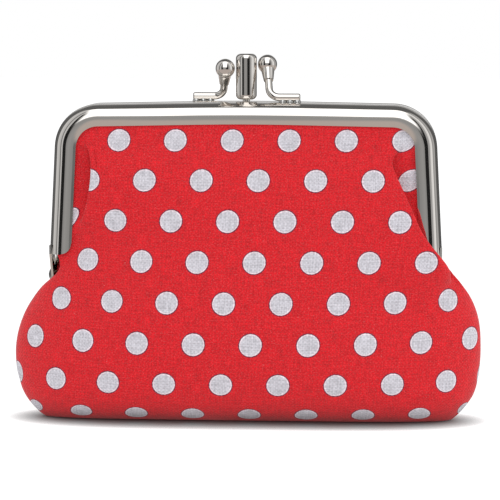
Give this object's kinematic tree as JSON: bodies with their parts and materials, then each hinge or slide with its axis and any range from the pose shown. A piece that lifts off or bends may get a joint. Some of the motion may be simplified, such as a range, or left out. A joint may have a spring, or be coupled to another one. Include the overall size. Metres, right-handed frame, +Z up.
{
  "type": "coin purse",
  "caption": "Kiss-lock coin purse in padded dotted cotton, with nickel-plated frames on side rivets, a centre post between ball arms, and a lined pocket on each side of a divider",
  "frame": {"origin": "the middle of the resting face, on the surface that the purse stands on", "axes": "+X to the right of someone who looks at the front, along the hinge line; +Y from the front to the back; +Z up, from the base to the clasp"},
  "size_m": [0.1162, 0.0324, 0.0914],
  "materials": {
    "frame_metal": "bright nickel plate on stamped steel",
    "solder": "bright lumpy tin solder",
    "cotton": "plain-weave red cotton printed with white dots in a staggered grid",
    "batting": "soft polyester batting",
    "lining": "plain-weave natural cotton",
    "stiffener": "stiff non-woven interfacing board",
    "cord_paper": "twisted kraft paper cord"
  },
  "bodies": {
    "middle": {"middle_frame": "frame_metal", "left_hinge_rivet": "frame_metal", "right_hinge_rivet": "frame_metal", "clasp_post": "frame_metal", "middle_frame_cord": "cord_paper", "divider_stiffener": "stiffener", "divider_front_lining": "lining", "divider_back_lining": "lining", "front_panel_lower": "cotton", "front_panel_fold": "cotton", "front_batting_lower": "batting", "front_batting_fold": "batting", "front_lining_lower": "lining", "front_lining_fold": "lining", "back_panel_lower": "cotton", "back_panel_fold": "cotton", "back_batting_lower": "batting", "back_batting_fold": "batting", "back_lining_lower": "lining", "back_lining_fold": "lining"},
    "front": {"front_frame": "frame_metal", "front_clasp_arm": "frame_metal", "front_clasp_ball": "frame_metal", "front_arm_solder": "solder", "front_frame_cord": "cord_paper", "front_panel_upper": "cotton", "front_batting_upper": "batting", "front_lining_upper": "lining"},
    "back": {"back_frame": "frame_metal", "back_clasp_arm": "frame_metal", "back_clasp_ball": "frame_metal", "back_arm_solder": "solder", "back_frame_cord": "cord_paper", "back_panel_upper": "cotton", "back_batting_upper": "batting", "back_lining_upper": "lining"}
  },
  "joints": [
    {"name": "front_opening", "type": "hinge", "parent": "middle", "child": "front", "pos_m": [0, 0, 0.036], "axis": [1, 0, 0], "range_deg": [0, 60], "deforming": ["front_panel_fold", "front_batting_fold", "front_lining_fold"]},
    {"name": "back_opening", "type": "hinge", "parent": "middle", "child": "back", "pos_m": [0, 0, 0.036], "axis": [-1, 0, 0], "range_deg": [0, 60], "deforming": ["back_panel_fold", "back_batting_fold", "back_lining_fold"]}
  ]
}
